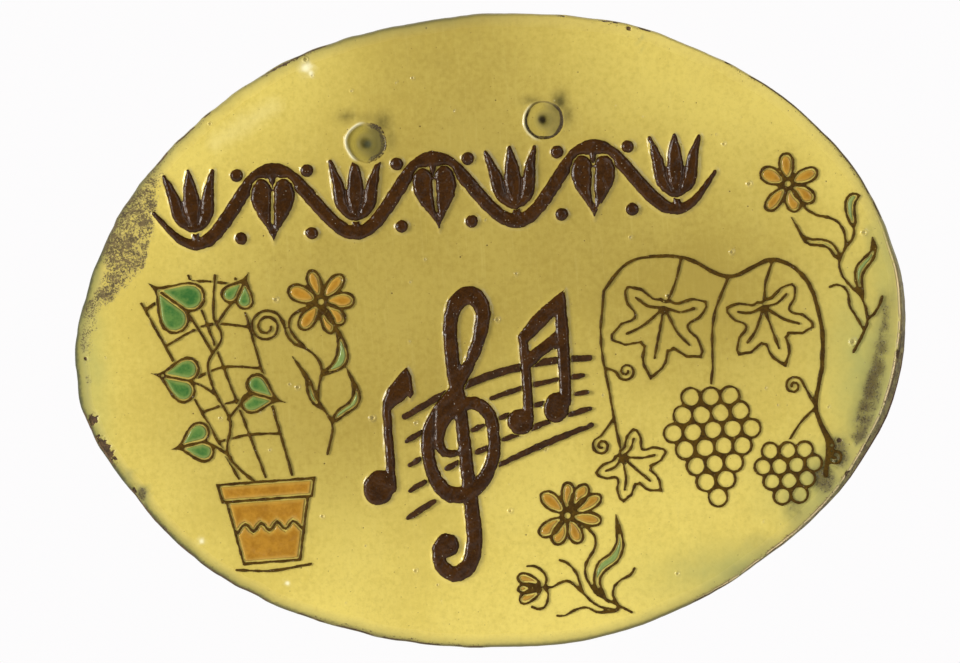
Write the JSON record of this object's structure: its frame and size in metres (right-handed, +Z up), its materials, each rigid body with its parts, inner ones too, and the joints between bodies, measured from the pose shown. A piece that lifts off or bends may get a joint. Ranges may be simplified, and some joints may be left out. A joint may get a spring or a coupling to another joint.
{
  "type": "ceramic door sign",
  "caption": "Oval hand-made earthenware door sign with yellow glaze, raised dark slip ornament, painted flowers and two screw holes with round seats.",
  "frame": {"origin": "centre of the flat back face", "axes": "the sign stands upright as it hangs: X along the long axis of the oval, +Z up, the back lies on Y = 0 and the front looks along -Y"},
  "size_m": [0.3019, 0.0113, 0.2301],
  "materials": {
    "brown_clay": "unglazed, matt, slightly gritty dark brown earthenware",
    "yellow_glaze": "glossy yellow glaze with pinholes and small blisters",
    "brown_slip": "glossy dark brown slip",
    "amber_glaze": "glossy amber glaze",
    "pale_green_glaze": "glossy pale green glaze",
    "deep_green_glaze": "glossy deep green glaze"
  },
  "bodies": {
    "root": {"clay_slab": "brown_clay", "glaze_coat": "yellow_glaze", "garland_stem": "brown_slip", "garland_tulip_1": "brown_slip", "garland_tulip_2": "brown_slip", "garland_tulip_3": "brown_slip", "garland_tulip_4": "brown_slip", "garland_leaf_1": "brown_slip", "garland_leaf_2": "brown_slip", "garland_leaf_3": "brown_slip", "garland_berries": "brown_slip", "treble_clef": "brown_slip", "quaver_note": "brown_slip", "beamed_notes": "brown_slip", "staff_line_1": "brown_slip", "staff_line_2": "brown_slip", "staff_line_3": "brown_slip", "staff_line_4": "brown_slip", "staff_line_5": "brown_slip", "left_daisy_lines": "brown_slip", "left_daisy_petals": "amber_glaze", "left_daisy_leaves": "pale_green_glaze", "right_daisy_lines": "brown_slip", "right_daisy_petals": "amber_glaze", "right_daisy_leaves": "pale_green_glaze", "bottom_daisy_lines": "brown_slip", "bottom_daisy_petals": "amber_glaze", "bottom_daisy_leaves": "pale_green_glaze", "pot_lines": "brown_slip", "pot_glaze": "amber_glaze", "trellis": "brown_slip", "climber_lines": "brown_slip", "climber_leaves": "deep_green_glaze", "vine_cane": "brown_slip", "vine_leaf_1": "brown_slip", "vine_leaf_2": "brown_slip", "vine_leaf_3": "brown_slip", "grape_bunch_1": "brown_slip", "grape_bunch_2": "brown_slip"}
  },
  "joints": []
}
